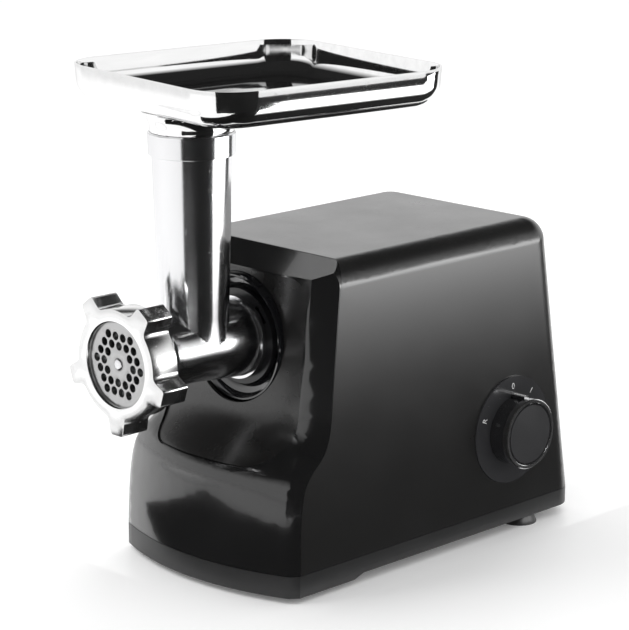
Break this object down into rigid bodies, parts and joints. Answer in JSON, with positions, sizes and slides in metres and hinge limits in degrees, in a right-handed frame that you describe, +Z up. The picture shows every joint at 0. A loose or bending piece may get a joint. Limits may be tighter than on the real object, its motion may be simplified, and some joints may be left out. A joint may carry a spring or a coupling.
{
  "type": "electric meat grinder",
  "caption": "Electric meat grinder: dark motor base with side control knob, cast grinding head with plate and ring nut, and a metal hopper tray on its feed tube.",
  "frame": {"origin": "on the table under the middle of the whole object", "axes": "+Z up, -Y towards the grinding plate at the front, +X towards the control knob"},
  "size_m": [0.2022, 0.3672, 0.345],
  "materials": {
    "shell": "satin gloss moulded plastic, dark charcoal",
    "bezel": "gloss moulded plastic, near black",
    "panel": "satin gloss moulded plastic, dark charcoal",
    "collar": "high gloss black",
    "base": "fine textured plastic, dark grey",
    "feet": "smooth black rubber",
    "screws": "zinc plated",
    "grommet": "black rubber",
    "gear_case": "die cast, as cast",
    "stand": "moulded glass-filled nylon",
    "bushes": "sintered bronze",
    "shafts": "ground steel",
    "steel_gears": "hobbed steel, oiled",
    "nylon_gears": "natural nylon",
    "laminations": "stacked laminations",
    "copper": "enamelled copper wire",
    "carbon": "carbon graphite",
    "fan_plastic": "moulded nylon",
    "switch_plastic": "white moulded plastic",
    "dial": "satin gloss dark plastic with pale printed marks",
    "knob_body": "gloss dark plastic",
    "bright_ring": "bright plated",
    "knob_face": "satin dark plastic",
    "board": "green laminate",
    "button": "gloss dark plastic",
    "cast_head": "polished cast aluminium",
    "nut": "polished cast aluminium",
    "plate_steel": "ground hardened steel",
    "tray_metal": "mirror polished stainless sheet",
    "washer": "white acetal"
  },
  "bodies": {
    "machine": {"main_housing": "shell", "front_cover": "bezel", "recess_panel": "panel", "socket_collar": "collar", "base_tray": "base", "rubber_feet": "feet", "foot_screws": "screws", "housing_screws": "screws", "cord_inlet": "grommet", "gearbox_front": "gear_case", "gearbox_rear": "gear_case", "gearbox_screws": "screws", "gearbox_stand": "stand", "output_bush_front": "bushes", "output_bush_rear": "bushes", "gear_axles": "shafts", "motor_bearings": "shafts", "stator_core": "laminations", "field_coils": "copper", "motor_bracket": "gear_case", "motor_bolts": "screws", "brush_holders": "bushes", "carbon_brushes": "carbon", "motor_cradle": "stand", "dial_plate": "dial", "rotary_switch": "switch_plastic", "circuit_board": "board", "latch_guide": "stand", "release_spring": "shafts"},
    "drive": {"drive_shaft": "shafts", "output_gear": "steel_gears", "auger": "cast_head", "auger_washer": "washer", "cross_knife": "plate_steel"},
    "second_gear": {"second_gear": "steel_gears"},
    "first_gear": {"first_gear": "nylon_gears"},
    "rotor": {"motor_pinion": "steel_gears", "motor_shaft": "shafts", "rotor_core": "laminations", "rotor_windings": "copper", "commutator": "copper", "cooling_fan": "fan_plastic"},
    "knob": {"knob": "knob_body", "knob_ring": "bright_ring", "knob_face": "knob_face", "knob_spindle": "shafts"},
    "button": {"release_button": "button", "latch_pin": "shafts"},
    "head": {"grinder_head": "cast_head", "plate_key": "shafts"},
    "plate": {"cutting_plate": "plate_steel"},
    "ring": {"ring_nut": "nut"},
    "tray": {"hopper_tray": "tray_metal"}
  },
  "joints": [
    {"name": "head_twist", "type": "hinge", "parent": "machine", "child": "head", "pos_m": [-0.00703, -0.10567, 0.162], "axis": [0, -1, 0], "range_deg": [0, 40]},
    {"name": "drive_spin", "type": "hinge", "parent": "machine", "child": "drive", "pos_m": [-0.00703, -0.10567, 0.162], "axis": [0, 1, 0], "continuous": true},
    {"name": "second_gear_spin", "type": "hinge", "parent": "machine", "child": "second_gear", "pos_m": [0.01297, -0.00567, 0.11346], "axis": [0, 1, 0], "continuous": true},
    {"name": "first_gear_spin", "type": "hinge", "parent": "machine", "child": "first_gear", "pos_m": [-0.02114, -0.00567, 0.10317], "axis": [0, 1, 0], "continuous": true},
    {"name": "rotor_spin", "type": "hinge", "parent": "machine", "child": "rotor", "pos_m": [-0.00703, 0.05433, 0.075], "axis": [0, 1, 0], "continuous": true},
    {"name": "plate_slide", "type": "slide", "parent": "head", "child": "plate", "axis": [0, -1, 0], "range_m": [0, 0.012]},
    {"name": "ring_turn", "type": "hinge", "parent": "plate", "child": "ring", "pos_m": [-0.00703, -0.10567, 0.162], "axis": [0, -1, 0], "range_deg": [0, 1440]},
    {"name": "tray_lift", "type": "slide", "parent": "head", "child": "tray", "axis": [0, 0, 1], "range_m": [0, 0.06]},
    {"name": "knob_turn", "type": "hinge", "parent": "machine", "child": "knob", "pos_m": [0.07797, 0.10943, 0.0757], "axis": [1, 0, 0], "range_deg": [-60, 60]},
    {"name": "button_press", "type": "slide", "parent": "machine", "child": "button", "axis": [0, 1, 0], "range_m": [0, 0.004], "stiffness_N_per_m": 900, "springref_m": -0.003, "deforming": ["release_spring"]}
  ],
  "couplings": [
    {"joint": "second_gear_spin", "follows": "drive_spin", "ratio": -4},
    {"joint": "first_gear_spin", "follows": "drive_spin", "ratio": 15},
    {"joint": "rotor_spin", "follows": "drive_spin", "ratio": -90},
    {"joint": "plate_slide", "follows": "ring_turn", "m_per_rad": 0.00047746}
  ]
}
